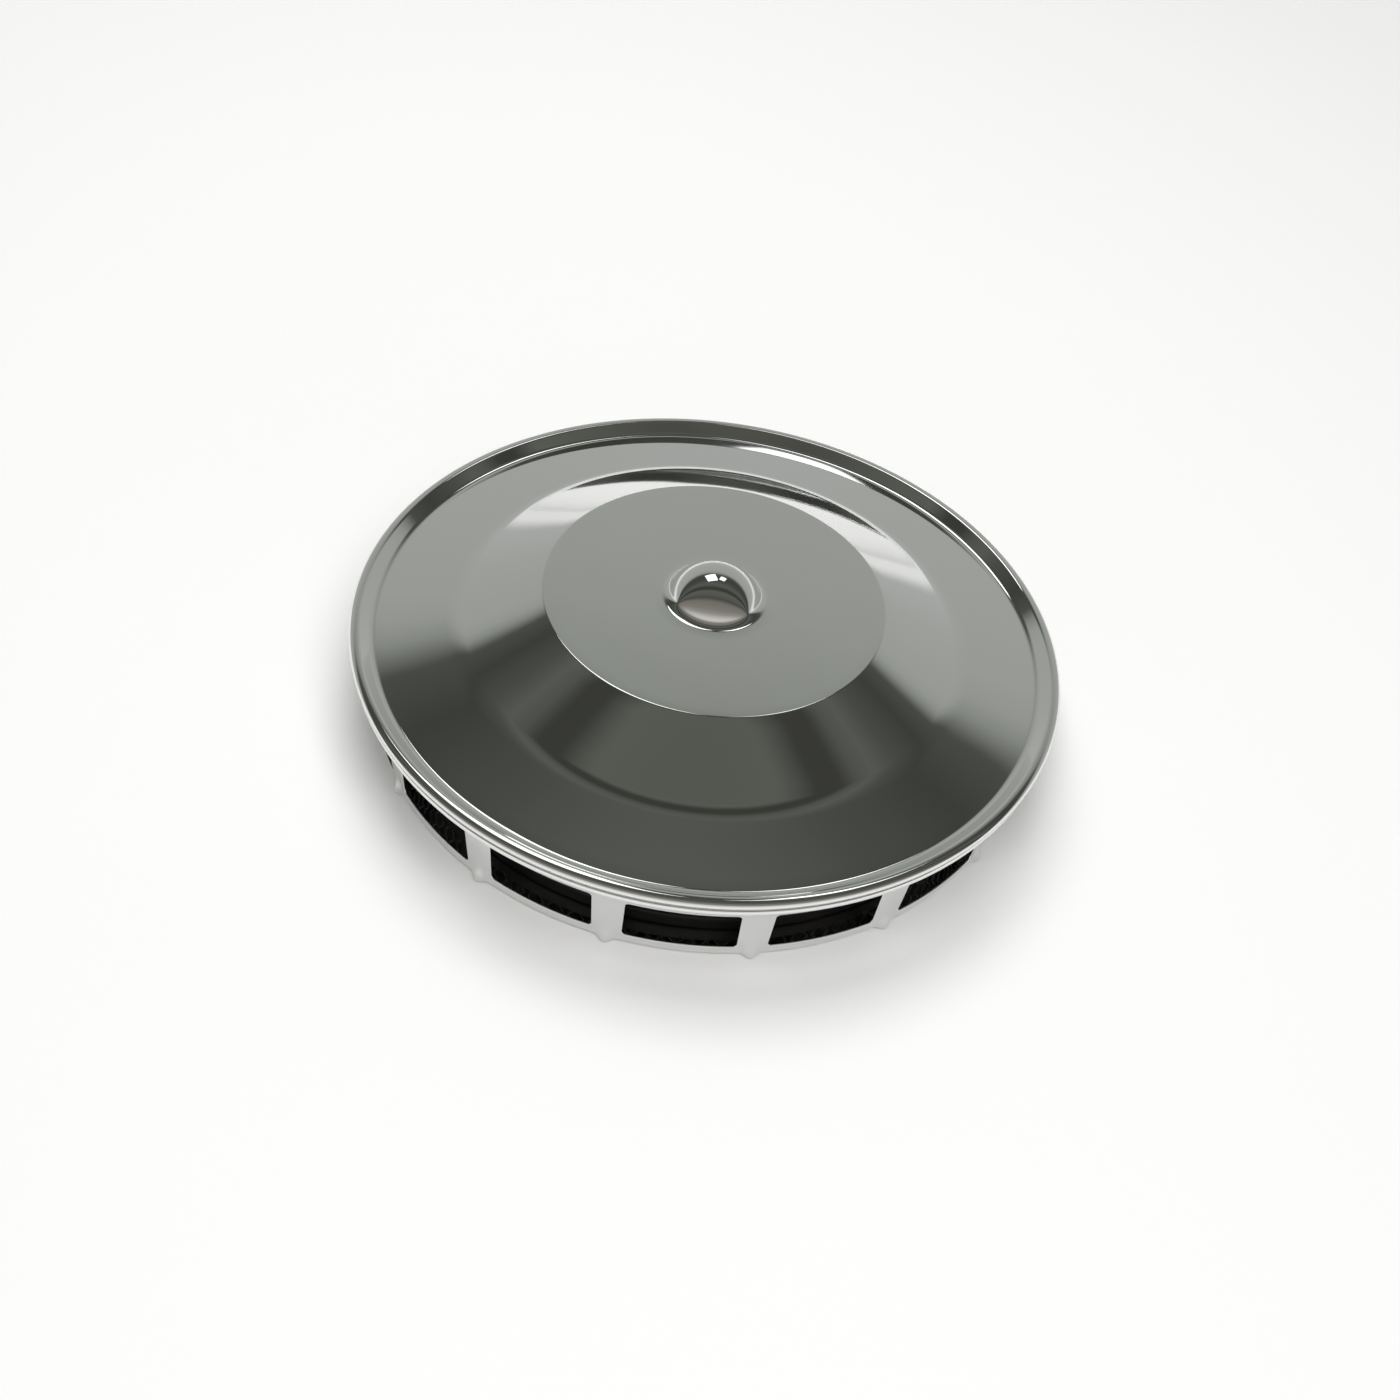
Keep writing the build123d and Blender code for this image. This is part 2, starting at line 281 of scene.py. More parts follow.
def around(radius, height, turns):
    """Points of a surface of revolution: (r cos t, r sin t, z) for every section point and angle t."""
    radius, height, turns = np.broadcast_arrays(radius, height, turns)
    return np.stack([radius * np.cos(turns), radius * np.sin(turns), height], -1)


def revolved(section, segments):
    """Surface of a closed section carried once round the axis, as points and quads."""
    turns = np.linspace(0, 2 * math.pi, segments, endpoint=False)
    points = around(section[:, :1], section[:, 1:], turns[None, :])
    return points.reshape(-1, 3), grid_faces(len(section), segments, close_columns=True)


def closed_revolved(section, segments):
    """The same for a section that is a closed loop away from the axis."""
    turns = np.linspace(0, 2 * math.pi, segments, endpoint=False)
    points = around(section[:, :1], section[:, 1:], turns[None, :])
    return points.reshape(-1, 3), grid_faces(len(section), segments, close_rows=True, close_columns=True)


def make_piece(name, surfaces, node, material):
    """One mesh from several surfaces that share borders: doubles are merged and faces turned outwards."""
    starts = np.cumsum([0] + [len(points) for points, _ in surfaces[:-1]])
    points = np.concatenate([points for points, _ in surfaces])
    faces = np.concatenate([faces + start for (_, faces), start in zip(surfaces, starts)])
    used, faces = np.unique(faces, return_inverse=True)
    mesh = bpy.data.meshes.new(name)
    mesh.from_pydata(points[used].tolist(), [], faces.reshape(-1, 4).tolist())
    shape = bmesh.new()
    shape.from_mesh(mesh)
    bmesh.ops.remove_doubles(shape, verts=shape.verts, dist=MERGE_DISTANCE)
    bmesh.ops.recalc_face_normals(shape, faces=shape.faces)
    shape.to_mesh(mesh)
    shape.free()
    mesh.polygons.foreach_set("use_smooth", np.ones(len(mesh.polygons), bool))
    mesh.materials.append(material)
    mesh.update()
    piece = bpy.data.objects.new(name, mesh)
    bpy.context.scene.collection.objects.link(piece)
    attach(piece, "root")
    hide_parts(node)
    return piece


def lid_section(sizes):
    """The lid's sheet as a line from the axis over the top, round the hem's edge and back underneath.

    The upper face is the rounded line through dome, plateau, cone, ring, valley and bead. The lower face
    is that line moved one sheet along its normal, and a half round joins the two at the hem.
    """
    radius, top = LID_HIGH.x, LID_HIGH.z
    plateau_height = top - sizes.dome_height
    cone_foot_height = plateau_height - sizes.plateau_rise
    valley = (radius - sizes.valley_setback, cone_foot_height - sizes.ring_rise)
    cone_foot = (valley[0] - sizes.ring_width, cone_foot_height)
    plateau = (cone_foot[0] - sizes.cone_run, plateau_height)
    bead_top = valley[1] + sizes.valley_depth
    hem = bead_top - sizes.bead_height
    crown = sizes.dome_flat + sizes.dome_crown * math.tan(sizes.dome_flank / 2)
    dome_foot = crown + sizes.dome_height / math.tan(sizes.dome_flank)
    corners = [(0, top), (crown, top), (dome_foot, plateau_height), plateau, cone_foot, valley,
               (radius - sizes.bead_width, bead_top), (radius, bead_top), (radius, hem + sizes.sheet / 2)]
    radii = [sizes.dome_crown, sizes.dome_foot, sizes.plateau_edge, sizes.cone_bend, sizes.valley_bend,
             sizes.bead_inner, sizes.bead_edge]
    upper, normal = rounded_line(corners, radii, 12, 6 * MM)
    lower = (upper - sizes.sheet * normal)[::-1]
    bend = np.linspace(0, math.pi, EDGE_STEPS)[1:-1, None]
    middle = upper[-1] - normal[-1] * sizes.sheet / 2
    edge = middle + sizes.sheet / 2 * np.concatenate([np.cos(bend), -np.sin(bend)], 1)
    section = np.concatenate([upper, edge, lower])
    section[[0, -1], 0] = 0.0
    return section


class SheetLine:
    """The base's section as a line that can be asked for the place of any point in the sheet.

    A point is given by its run along the upper face and its depth into the sheet; its radius and height
    are the line's point at that run, moved by the depth along the line's normal.
    """

    def __init__(self, points, normals):
        steps = np.linalg.norm(np.diff(points, axis=0), axis=1)
        self.run = np.concatenate([[0.0], np.cumsum(steps)])
        self.points, self.normals = points, normals
        self.turn = np.unwrap(np.arctan2(normals[:, 1], normals[:, 0]))

    def place(self, run, depth):
        """Radius and height of the points at these runs and depths."""
        turn = np.interp(run, self.run, self.turn)
        radius = np.interp(run, self.run, self.points[:, 0]) + depth * np.cos(turn)
        height = np.interp(run, self.run, self.points[:, 1]) + depth * np.sin(turn)
        return radius, height


def base_line(sizes):
    """The base's upper face as a rounded line: hem, rim, wall, floor, riser, deck and neck."""
    radius, top = BASE_HIGH.x, BASE_HIGH.z
    wall_top = radius - sizes.rim_width - sizes.sheet
    wall_foot = wall_top - sizes.wall_taper
    hem = top - sizes.rim_hem
    corners = [(radius - sizes.rim_curl, hem), (radius, hem), (radius, top), (wall_top, top),
               (wall_foot, sizes.sheet), (sizes.riser_foot, sizes.sheet),
               (sizes.riser_top, sizes.deck_height), (sizes.neck_radius, sizes.deck_height),
               (sizes.neck_radius, sizes.deck_height - sizes.neck_depth)]
    radii = [sizes.rim_edge, sizes.rim_edge, sizes.shoulder, sizes.floor_corner, sizes.riser_bend,
             sizes.riser_bend, sizes.neck_bend]
    points, normals = rounded_line(corners, radii, 7, 12 * MM)
    return SheetLine(points, normals), wall_top, wall_foot


class BasePan:
    """The windowed base: a grid of turns and runs, with a ruled ring of faces round each window."""

    CORNER_STEPS = 4
    ACROSS_STEPS = 8
    UP_STEPS = 5
    POST_STEPS = 5

    def __init__(self, sizes):
        self.sizes = sizes
        self.line, wall_top, wall_foot = base_line(sizes)
        top = BASE_HIGH.z
        self.slope = (wall_top - wall_foot) / (top - sizes.sheet)
        wall = (np.array([wall_foot, sizes.sheet]), np.array([wall_top, top]))
        along = (wall[0] - wall[1]) / np.linalg.norm(wall[0] - wall[1])
        on_wall = np.abs(self.line.normals @ along) < 1e-6
        on_wall &= (self.line.points[:, 0] < wall_top) & (self.line.points[:, 0] > wall_foot)
        self.wall_run = self.line.run[on_wall]
        self.wall_height = self.line.points[on_wall, 1]
        self.pitch = 2 * math.pi / sizes.windows
        self.first_post = -math.pi / 2

    def run_at(self, height):
        """Run along the wall of its outer face's point at a height."""
        shift = self.sizes.sheet * math.sin(math.atan(self.slope))
        return np.interp(-np.asarray(height) - shift, -self.wall_height, self.wall_run)

    def stretch(self, low, high, corner, steps):
        """Stops from low to high, close together for one corner's length at each end."""
        first = np.linspace(low, low + corner, self.CORNER_STEPS + 1)
        middle = np.linspace(low + corner, high - corner, steps + 1)
        last = np.linspace(high - corner, high, self.CORNER_STEPS + 1)
        return np.concatenate([first, middle[1:-1], last])

    def place(self, turns, run, depth):
        """Points of the sheet at turns measured from a post, with the bump at that post's foot pressed out.

        The bump has an oval foot drawn out up the post. Its lift is the reach times the square of one less
        the squared distance from its middle, as a share of the foot, and moves the sheet out and down.
        """
        sizes = self.sizes
        radius, height = self.line.place(run, depth)
        outer = sizes.floor_corner + sizes.sheet
        centre = BASE_HIGH.x - sizes.rim_width - sizes.wall_taper - outer, outer
        drop = np.arctan2(centre[1] - height, radius - centre[0])
        away = (turns + self.pitch / 2) % self.pitch - self.pitch / 2
        across = radius * away / (sizes.bump_width / 2)
        climb = np.maximum(height - centre[1], 0)
        along = (outer * (np.maximum(drop, 0) - sizes.bump_drop) - climb) / (sizes.bump_height / 2)
        along = np.where(along < 0, along / sizes.bump_fade, along)
        lift = sizes.bump_reach * np.clip(1 - across ** 2 - along ** 2, 0, 1) ** 2
        radius = radius + lift * math.cos(sizes.bump_drop)
        height = height - lift * math.sin(sizes.bump_drop)
        return around(radius, height, turns + self.first_post)

    def surfaces(self):
        """The grid without its window fields, and the ring of faces round all the windows."""
        sizes = self.sizes
        half = sizes.window_width / 2
        low, high = sizes.window_sill, sizes.window_sill + sizes.window_height
        narrow, _ = self.line.place(self.run_at(low), sizes.sheet)
        field = float(np.arcsin(half / narrow) + sizes.window_border / narrow)
        corner = sizes.window_corner + sizes.window_border
        window_turns = self.pitch / 2 + self.stretch(-field, field, corner / narrow, self.ACROSS_STEPS)
        post = np.linspace(0, self.pitch / 2 - field, self.POST_STEPS + 1)
        sector = np.concatenate([post[:-1], window_turns, self.pitch - post[:0:-1]])
        turns = (sector[None, :] + self.pitch * np.arange(sizes.windows)[:, None]).ravel()
        in_window = np.zeros(len(sector), bool)
        in_window[self.POST_STEPS:self.POST_STEPS + len(window_turns) - 1] = True

        border = sizes.window_border
        field_runs = np.sort(self.run_at(self.stretch(low - border, high + border, corner, self.UP_STEPS)))
        line = self.line
        keep = (line.run < field_runs[0] - 1e-4) | (line.run > field_runs[-1] + 1e-4)
        runs = np.sort(np.concatenate([line.run[keep], field_runs]))
        runs = runs[(runs > sizes.edge_round) & (runs < line.run[-1] - sizes.edge_round)]
        round_off = np.linspace(0, math.pi, EDGE_STEPS)
        sweep, depth = np.sin(round_off) * sizes.edge_round, (1 - np.cos(round_off)) / 2 * sizes.sheet
        run_loop = np.concatenate([runs[::-1], sizes.edge_round - sweep, runs,
                                   line.run[-1] - sizes.edge_round + sweep])
        depth_loop = np.concatenate([np.zeros(len(runs)), depth, np.full(len(runs), sizes.sheet),
                                     depth[::-1]])
        sheet = self.place(turns[None, :], run_loop[:, None], depth_loop[:, None])
        faces = grid_faces(len(run_loop), len(turns), close_rows=True, close_columns=True)
        row, column = np.divmod(faces[:, 0], len(turns))
        next_row = (row + 1) % len(run_loop)
        middle = (run_loop[row] + run_loop[next_row]) / 2
        pierced = (middle > field_runs[0]) & (middle < field_runs[-1]) & in_window[column % len(sector)]
        grid = sheet.reshape(-1, 3), faces[~pierced]
        return [grid, self.window_ring(window_turns, field_runs)]

    def window_ring(self, window_turns, field_runs):
        """Faces between each window's cut edge and the border of its field in the grid.

        Every border point is joined to the nearest point of the rounded rectangle, on the outer face,
        round the half-round cut edge, and back on the inner face.
        """
        sizes = self.sizes
        bottom, side = np.meshgrid(window_turns, field_runs, indexing="ij")
        loop = np.concatenate([
            np.stack([bottom[:-1, 0], side[:-1, 0]], 1),
            np.stack([bottom[-1, :-1], side[-1, :-1]], 1),
            np.stack([bottom[:0:-1, -1], side[:0:-1, -1]], 1),
            np.stack([bottom[0, :0:-1], side[0, :0:-1]], 1)])
        radius, height = self.line.place(loop[:, 1], sizes.sheet)
        across = radius * np.sin(loop[:, 0] - self.pitch / 2)
        middle = sizes.window_sill + sizes.window_height / 2
        inner = np.array([sizes.window_width, sizes.window_height]) / 2 - sizes.window_corner
        spot = np.stack([across, height - middle], 1)
        heart = np.clip(spot, -inner, inner)
        ray = (spot - heart) / np.linalg.norm(spot - heart, axis=1)[:, None]
        bend = np.linspace(0, math.pi, EDGE_STEPS)
        grow = sizes.edge_round * (1 - np.sin(bend))
        depth = sizes.sheet * (1 + np.cos(bend)) / 2
        cut = heart + ray * (sizes.window_corner + grow[:, None, None])
        cut_run = self.run_at(cut[..., 1] + middle)
        cut_radius, _ = self.line.place(cut_run, sizes.sheet)
        cut_turn = self.pitch / 2 + np.arcsin(cut[..., 0] / cut_radius)
        share = np.array([0.0, 0.35, 0.7])[:, None]
        turn_in = loop[:, 0] + (cut_turn[0] - loop[:, 0]) * share
        run_in = loop[:, 1] + (cut_run[0] - loop[:, 1]) * share
        turn = np.concatenate([turn_in, cut_turn, turn_in[::-1]])
        run = np.concatenate([run_in, cut_run, run_in[::-1]])
        depth = np.concatenate([np.full(3, sizes.sheet), depth, np.zeros(3)])[:, None]
        steps = self.pitch * np.arange(sizes.windows)[:, None, None]
        points = self.place(turn[None] + steps, run[None] + 0 * steps, depth[None] + 0 * steps)
        quads = grid_faces(len(turn), len(loop), close_columns=True)
        faces = quads[None] + (np.arange(sizes.windows) * turn.size)[:, None, None]
        return points.reshape(-1, 3), faces.reshape(-1, 4)


def expanded_screen(sizes, low, high):
    """A tube of expanded metal between two plain bands.

    Strand k climbs the tube on the angle k + cos(height) / 4 pitches, with every other strand in the
    opposite phase, so that neighbours meet in diamonds. Each strand has a flat four-sided section.
    """
    radius = high.x - sizes.strand_depth / 2
    pitch = 2 * math.pi / sizes.strands
    climb = np.linspace(low.z + sizes.band / 2, high.z - sizes.band / 2, STRAND_CLIMB_STEPS)
    phase = 2 * math.pi * sizes.cells * (climb - climb[0]) / (climb[-1] - climb[0])
    strand = np.arange(sizes.strands)
    sign = np.where(strand % 2 == 0, 1.0, -1.0)
    turn = pitch * (strand[:, None] + 0.25 * sign[:, None] * np.cos(phase)[None, :])
    half = np.array([[-1, -1], [1, -1], [1, 1], [-1, 1]]) / 2
    points = around(radius + sizes.strand_depth * half[None, None, :, 1],
                    climb[None, :, None],
                    turn[:, :, None] + sizes.strand_width / radius * half[None, None, :, 0])
    quads = grid_faces(len(climb), 4, close_columns=True)
    faces = (quads[None] + (strand * len(climb) * 4)[:, None, None]).reshape(-1, 4)
    strands = points.reshape(-1, 3), faces
    outline = np.array([[high.x - sizes.strand_depth, 0], [high.x, 0], [high.x, sizes.band],
                        [high.x - sizes.strand_depth, sizes.band]])
    bands = [closed_revolved(outline + [0, start], RING_SEGMENTS) for start in (low.z, high.z - sizes.band)]
    return [strands] + bands


# Finishes


class Nodes:
    """Short calls for building a node tree."""

    def __init__(self, tree):
        self.tree = tree
        tree.nodes.clear()

    def add(self, kind, inputs=None, **settings):
        """A node with its settings; inputs are values, or output sockets to link."""
        node = self.tree.nodes.new(kind)
        for key, value in settings.items():
            setattr(node, key, value)
        for key, value in (inputs or {}).items():
            if isinstance(value, bpy.types.NodeSocket):
                self.tree.links.new(value, node.inputs[key])
            else:
                node.inputs[key].default_value = value
        return node

    def math(self, operation, first, second=0.0):
        """Output of a Math node."""
        return self.add("ShaderNodeMath", {0: first, 1: second}, operation=operation).outputs[0]

    def mix_colour(self, factor, first, second):
        """Output of a colour mix."""
        node = self.add("ShaderNodeMix", data_type="RGBA")
        for key, value in ((0, factor), (6, first), (7, second)):
            if isinstance(value, bpy.types.NodeSocket):
                self.tree.links.new(value, node.inputs[key])
            else:
                node.inputs[key].default_value = value
        return node.outputs[2]

    def ramp(self, value, stops):
        """Output of a colour ramp; stops are (position, (r, g, b))."""
        node = self.add("ShaderNodeValToRGB", {0: value})
        node.color_ramp.interpolation = "LINEAR"
        elements = node.color_ramp.elements
        while len(elements) < len(stops):
            elements.new(0.5)
        for element, (position, rgb) in zip(elements, stops):
            element.position = position
            element.color = (*rgb, 1)
        return node.outputs[0]

    def spread(self, value, low, high):
        """Output that maps 0 to 1 onto low to high."""
        return self.add("ShaderNodeMapRange", {0: value, 3: low, 4: high}).outputs[0]


def new_material(name):
    """An empty material, its tree, object coordinates and its shader."""
    material = bpy.data.materials.new(name)
    material.use_nodes = True
    tree = Nodes(material.node_tree)
    place = tree.add("ShaderNodeTexCoord").outputs["Object"]
    shader = tree.add("ShaderNodeBsdfPrincipled")
    output = tree.add("ShaderNodeOutputMaterial")
    tree.tree.links.new(shader.outputs[0], output.inputs[0])
    return material, tree, place, shader


def join(tree, output, shader, socket):
    """Links an output to one of the shader's sockets."""
    tree.tree.links.new(output, shader.inputs[socket])


def bright_plating(finishes):
    """Polished plating: faint haze and roughness in patches, spun rings and a slow waviness."""
    material, tree, place, shader = new_material("bright_plating")
    shader.inputs["Metallic"].default_value = 1.0
    patches = tree.add("ShaderNodeTexNoise", {"Vector": place, "Scale": 14.0, "Detail": 3.0}).outputs["Fac"]
    tint = tree.mix_colour(patches, (*finishes.plating, 1), (*finishes.plating_haze, 1))
    join(tree, tint, shader, "Base Color")
    fine = tree.add("ShaderNodeTexNoise", {"Vector": place, "Scale": 90.0, "Detail": 4.0}).outputs["Fac"]
    join(tree, tree.spread(fine, 0.03, 0.06), shader, "Roughness")
    axis = tree.add("ShaderNodeSeparateXYZ", {0: place})
    out = tree.math("SQRT", tree.math("ADD", tree.math("POWER", axis.outputs[0], 2.0),
                                      tree.math("POWER", axis.outputs[1], 2.0)))
    rings = tree.math("SINE", tree.math("MULTIPLY", out, 2100.0))
    slow = tree.add("ShaderNodeTexNoise", {"Vector": place, "Scale": 24.0, "Detail": 1.0}).outputs["Fac"]
    wave = tree.math("ADD", tree.math("MULTIPLY", rings, 0.003), slow)
    bump = tree.add("ShaderNodeBump", {"Height": wave, "Strength": 0.3, "Distance": 0.00025})
    join(tree, bump.outputs[0], shader, "Normal")
    return material


def dull_finish(name, rgb, roughness, grain_scale, grain_depth, metallic=0.0):
    """A plain matt or satin finish with a fine grain, slightly uneven in colour and roughness."""
    material, tree, place, shader = new_material(name)
    shader.inputs["Metallic"].default_value = metallic
    cloud = tree.add("ShaderNodeTexNoise", {"Vector": place, "Scale": 60.0, "Detail": 4.0}).outputs["Fac"]
    darker = tuple(0.7 * part for part in rgb)
    lighter = tuple(min(1.0, 1.3 * part) for part in rgb)
    join(tree, tree.mix_colour(cloud, (*darker, 1), (*lighter, 1)), shader, "Base Color")
    join(tree, tree.spread(cloud, roughness - 0.08, roughness + 0.08), shader, "Roughness")
    noise = {"Vector": place, "Scale": grain_scale, "Detail": 3.0}
    grain = tree.add("ShaderNodeTexNoise", noise).outputs["Fac"]
    bump = tree.add("ShaderNodeBump", {"Height": grain, "Strength": 0.4, "Distance": grain_depth})
    join(tree, bump.outputs[0], shader, "Normal")
    return material


def dress_node(name, material):
    """Puts a finish on a node of the frame that keeps its own mesh."""
    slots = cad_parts[name].material_slots
    for slot in slots:
        slot.material = material


# Operators


class AIRCLEANER_OT_lid(bpy.types.Operator):
    """Build the domed lid"""
    bl_idname = "air_cleaner.lid"
    bl_label = "Lid"

    def execute(self, context):
        sizes = context.scene.air_cleaner_lid
        surface = revolved(lid_section(sizes), sizes.segments)
        make_piece("lid_sheet", [surface], "lid", shared_plating(context))
        return {"FINISHED"}


class AIRCLEANER_OT_base(bpy.types.Operator):
    """Build the windowed base pan"""
    bl_idname = "air_cleaner.base"
    bl_label = "Base"

    def execute(self, context):
        pan = BasePan(context.scene.air_cleaner_base)
        make_piece("base_sheet", pan.surfaces(), "base", shared_plating(context))
        return {"FINISHED"}


class AIRCLEANER_OT_filter(bpy.types.Operator):
    """Build the filter element: end seals, screens and pleated paper"""
    bl_idname = "air_cleaner.filter"
    bl_label = "Filter"

    def execute(self, context):
        sizes, finishes = context.scene.air_cleaner_filter, context.scene.air_cleaner_finishes
        # The seals' finish is near black, partly their own dark colour and partly painted shade for the
        # shadowed inside behind the windows
        seal = dull_finish("moulded_seal", finishes.seal, 0.55, 700.0, 0.0001)
        outer, inner = BOTTOM_SEAL_HIGH.x, BOTTOM_SEAL_HIGH.x - sizes.depth
        bottom = [(inner, BOTTOM_SEAL_LOW.z), (outer, BOTTOM_SEAL_LOW.z), (outer, BOTTOM_SEAL_HIGH.z),
                  (inner, BOTTOM_SEAL_HIGH.z)]
        flat = TOP_SEAL_LOW.z
        outer_top = flat + BOTTOM_SEAL_HIGH.z - BOTTOM_SEAL_LOW.z
        top = [(inner, flat), (outer, flat), (outer, outer_top), (inner, TOP_SEAL_HIGH.z)]
        for node, outline in (("filter_bottom_seal", bottom), ("filter_top_seal", top)):
            surface = closed_revolved(rounded_ring(outline, sizes.seal_round), RING_SEGMENTS)
            make_piece(node.replace("filter", "moulded"), [surface], node, seal)
        # The screens' finish is near black, partly black paint and partly painted shade for the shadowed
        # inside behind the windows
        screen = dull_finish("black_screen_and_painted_shade", finishes.screen, 0.45, 900.0, 0.00005)
        for node, low, high in (("filter_outer_screen", OUTER_SCREEN_LOW, OUTER_SCREEN_HIGH),
                                ("filter_inner_screen", INNER_SCREEN_LOW, INNER_SCREEN_HIGH)):
            make_piece(node.replace("filter", "expanded"), expanded_screen(sizes, low, high), node,
                       screen)
        # The paper's finish is near black, partly a dark medium and partly painted shade for the shadowed
        # inside behind the windows
        dress_node("filter_paper", dull_finish("dark_paper_and_painted_shade", finishes.paper, 0.85, 1500.0, 0.0001))
        return {"FINISHED"}


class AIRCLEANER_OT_fastening(bpy.types.Operator):
    """Finish the nut and its plate, and build the neck's gasket"""
    bl_idname = "air_cleaner.fastening"
    bl_label = "Fastening and gasket"

    def execute(self, context):
        sizes, finishes = context.scene.air_cleaner_filter, context.scene.air_cleaner_finishes
        zinc = dull_finish("zinc_plate", finishes.zinc, 0.35, 1200.0, 0.00004, metallic=1.0)
        dress_node("nut_plate", zinc)
        dress_node("stud_nut", zinc)
        rubber = dull_finish("gasket_rubber", finishes.rubber, 0.7, 800.0, 0.0001)
        outer, inner = GASKET_HIGH.x, GASKET_HIGH.x - sizes.gasket_width
        outline = [(inner, GASKET_LOW.z), (outer, GASKET_LOW.z), (outer, GASKET_HIGH.z),
                   (inner, GASKET_HIGH.z)]
        surface = closed_revolved(rounded_ring(outline, sizes.gasket_round, 4), GASKET_SEGMENTS)
        make_piece("gasket_ring", [surface], "neck_gasket", rubber)
        return {"FINISHED"}


def shared_plating(context):
    """The plating that lid and base share."""
    found = bpy.data.materials.get("bright_plating")
    return found or bright_plating(context.scene.air_cleaner_finishes)


def add_camera(studio):
    """A camera set by the point on the axis that it is aimed at, and by the pixel where it lands."""
    target = Vector((0, 0, studio.aim_height))
    level = math.cos(studio.elevation)
    back = Vector((math.sin(studio.azimuth) * level, -math.cos(studio.azimuth) * level,
                   math.sin(studio.elevation)))
    forward = -back
    right = forward.cross(Vector((0, 0, 1))).normalized()
    up = right.cross(forward)
    rolled_right = right * math.cos(studio.roll) + up * math.sin(studio.roll)
    rolled_up = up * math.cos(studio.roll) - right * math.sin(studio.roll)
    half = studio.image_pixels / 2
    seen = Vector((studio.aim_pixel[0] - half, half - studio.aim_pixel[1], studio.focal_pixels))
    seen.normalize()
    turn = seen.rotation_difference(Vector((0, 0, 1))).to_matrix()
    axes = turn.transposed() @ Matrix((rolled_right, rolled_up, forward))
    data = bpy.data.cameras.new("camera")
    data.sensor_width = CAMERA_SENSOR
    data.lens = data.sensor_width * studio.focal_pixels / studio.image_pixels
    data.clip_end = CAMERA_REACH
    camera = bpy.data.objects.new("camera", data)
    pose = Matrix((axes[0], axes[1], -axes[2])).transposed().to_4x4()
    pose.translation = target + back * studio.distance
    camera.matrix_world = pose
    bpy.context.scene.collection.objects.link(camera)
    bpy.context.scene.camera = camera


def add_floor(studio):
    """A pale disc: points on rings whose radius grows as a power, carried round the axis."""
    rings = studio.floor_radius * np.linspace(0, 1, FLOOR_RINGS) ** 3
    turns = np.linspace(0, 2 * math.pi, FLOOR_SEGMENTS, endpoint=False)
    points = around(rings[:, None], -FLOOR_DROP, turns[None, :]).reshape(-1, 3)
    mesh = bpy.data.meshes.new("floor")
    mesh.from_pydata(points.tolist(), [], grid_faces(len(rings), len(turns), close_columns=True).tolist())
    material, tree, place, shader = new_material("pale_floor")
    speck = tree.add("ShaderNodeTexNoise", {"Vector": place, "Scale": 3.0}).outputs["Fac"]
    pale = studio.floor_colour
    near = tree.mix_colour(speck, (*pale, 1), (*(part * 0.99 for part in pale), 1))
    out = tree.add("ShaderNodeVectorMath", {0: place}, operation="LENGTH").outputs["Value"]
    fade = tree.add("ShaderNodeMapRange", {0: out, 1: studio.floor_reach, 2: studio.floor_fade},
                    interpolation_type="SMOOTHSTEP").outputs[0]
    join(tree, tree.mix_colour(fade, near, (0, 0, 0, 1)), shader, "Base Color")
    shader.inputs["Emission Color"].default_value = (*studio.horizon_tone, 1)
    join(tree, fade, shader, "Emission Strength")
    shader.inputs["Roughness"].default_value = 1.0
    shader.inputs["Specular IOR Level"].default_value = 0.0
    mesh.materials.append(material)
    floor = bpy.data.objects.new("floor", mesh)
    bpy.context.scene.collection.objects.link(floor)


def add_world(studio):
    """The studio's tones by direction: a pale far wall, a dark ceiling and a pale front.

    A direction's tone follows its angle on the arch from the far horizon over the top to the horizon
    behind the camera: the angle whose tangent is its rise over its part that points away. Close to the
    horizon it eases into one pale tone, which the floor fades into as well.
    """
    world = bpy.data.worlds.new("studio")
    world.use_nodes = True
    bpy.context.scene.world = world
    tree = Nodes(world.node_tree)
    way = tree.add("ShaderNodeTexCoord").outputs["Generated"]
    away = (-math.sin(studio.azimuth), math.cos(studio.azimuth), 0.0)
    far = tree.add("ShaderNodeVectorMath", {0: way, 1: away}, operation="DOT_PRODUCT").outputs["Value"]
    rise = tree.add("ShaderNodeSeparateXYZ", {0: way}).outputs[2]
    arch = tree.math("ARCTAN2", rise, far)
    share = tree.add("ShaderNodeMapRange", {0: arch, 1: 0.0, 2: math.pi, 3: 0.0, 4: 1.0}).outputs[0]
    tones = tree.ramp(share, [(degrees / 180, tone) for degrees, tone in ARCH])
    above = tree.add("ShaderNodeMapRange", {0: rise, 1: 0.0, 2: studio.horizon_rise},
                     interpolation_type="SMOOTHSTEP").outputs[0]
    tones = tree.mix_colour(above, (*studio.horizon_tone, 1), tones)
    background = tree.add("ShaderNodeBackground", {"Color": tones, "Strength": 1.0})
    output = tree.add("ShaderNodeOutputWorld")
    tree.tree.links.new(background.outputs[0], output.inputs[0])


def add_lamp(name, place, aim, side, watts, glossy):
    """A square soft lamp turned to its aim."""
    data = bpy.data.lights.new(name, "AREA")
    data.shape, data.size, data.energy = "SQUARE", side, watts
    lamp = bpy.data.objects.new(name, data)
    lamp.location = place
    lamp.rotation_euler = (Vector(aim) - Vector(place)).to_track_quat("-Z", "Y").to_euler()
    lamp.visible_camera = False
    lamp.visible_glossy = glossy
    bpy.context.scene.collection.objects.link(lamp)


def far_place(studio, turn, rise, distance):
    """A point at a distance from the dome, at a turn to the right of the view's far side and a rise."""
    way = math.radians(turn) - studio.azimuth
    level = distance * math.cos(math.radians(rise))
    height = LID_HIGH.z + distance * math.sin(math.radians(rise))
    return Vector((level * math.sin(way), level * math.cos(way), height))


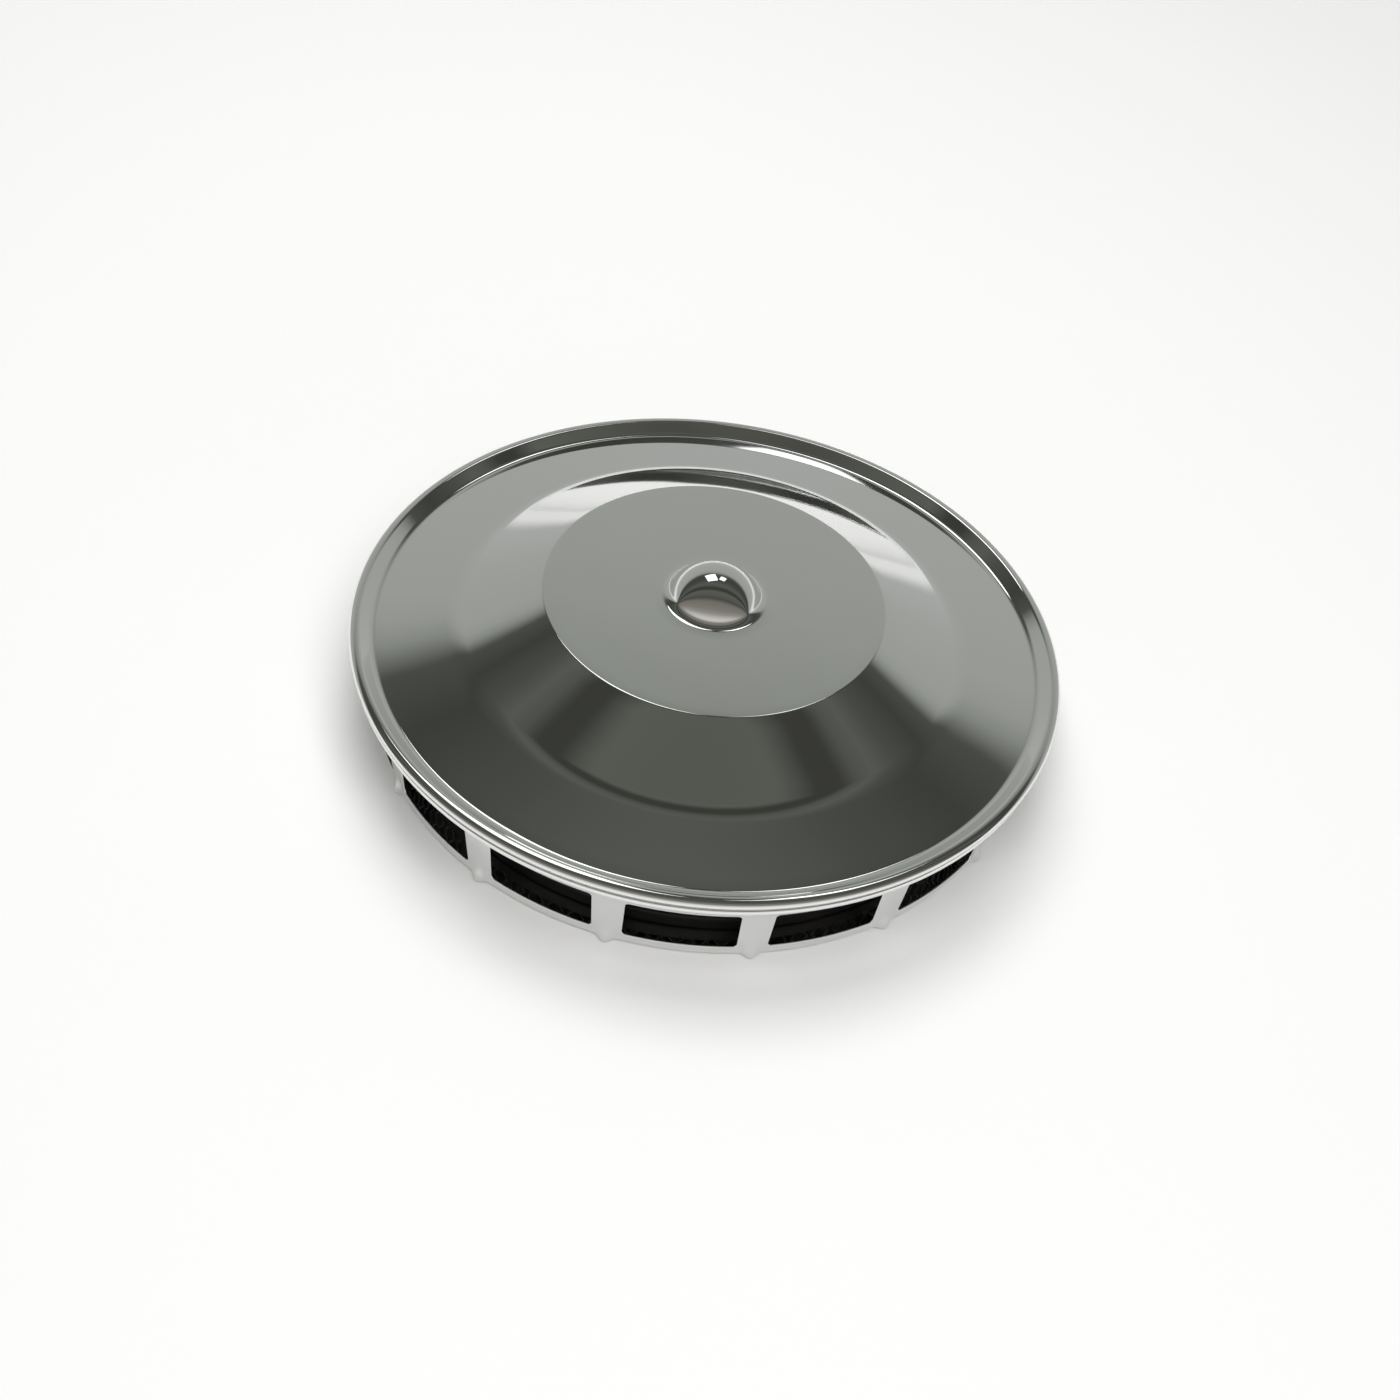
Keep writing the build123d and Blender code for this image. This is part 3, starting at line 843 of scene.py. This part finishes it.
class AIRCLEANER_OT_stage(bpy.types.Operator):
    """Set up the floor, the light and the camera"""
    bl_idname = "air_cleaner.stage"
    bl_label = "Stage"

    def execute(self, context):
        studio = context.scene.air_cleaner_studio
        context.scene.view_settings.view_transform = "Standard"
        add_floor(studio)
        add_world(studio)
        for name, place, side, watts in SOFT_LAMPS:
            add_lamp(name, place, (0, 0, 0), side, watts, False)
        for name, turn, rise, side, watts in WINDOW_LAMPS:
            place = far_place(studio, turn, rise, WINDOW_DISTANCE)
            add_lamp(name, place, (0, 0, LID_HIGH.z), side, watts, True)
        add_camera(studio)
        return {"FINISHED"}


class AIRCLEANER_PT_panel(bpy.types.Panel):
    """Lists the pieces and their sizes"""
    bl_idname = "AIRCLEANER_PT_panel"
    bl_label = "Engine Air Cleaner"
    bl_space_type = "VIEW_3D"
    bl_region_type = "UI"
    bl_category = "Air Cleaner"

    def draw(self, context):
        for operator in OPERATORS:
            self.layout.operator(operator.bl_idname)
        for name, group in GROUPS:
            box = self.layout.box()
            box.label(text=group.__doc__)
            for prop in group.__annotations__:
                box.prop(getattr(context.scene, name), prop)


OPERATORS = (AIRCLEANER_OT_lid, AIRCLEANER_OT_base, AIRCLEANER_OT_filter, AIRCLEANER_OT_fastening,
             AIRCLEANER_OT_stage)
GROUPS = (("air_cleaner_lid", LidSizes), ("air_cleaner_base", BaseSizes),
          ("air_cleaner_filter", FilterSizes), ("air_cleaner_finishes", Finishes),
          ("air_cleaner_studio", StudioSettings))


def register():
    """Registers the sizes, the operators and the panel."""
    for name, group in GROUPS:
        bpy.utils.register_class(group)
        setattr(bpy.types.Scene, name, PointerProperty(type=group))
    for cls in (*OPERATORS, AIRCLEANER_PT_panel):
        bpy.utils.register_class(cls)


def unregister():
    """Takes them away again."""
    for cls in (AIRCLEANER_PT_panel, *reversed(OPERATORS)):
        bpy.utils.unregister_class(cls)
    for name, group in reversed(GROUPS):
        delattr(bpy.types.Scene, name)
        bpy.utils.unregister_class(group)


def main():
    """Builds every piece and the stage."""
    register()
    for operator in OPERATORS:
        group, name = operator.bl_idname.split(".")
        getattr(getattr(bpy.ops, group), name)()


if __name__ == "__main__":
    main()
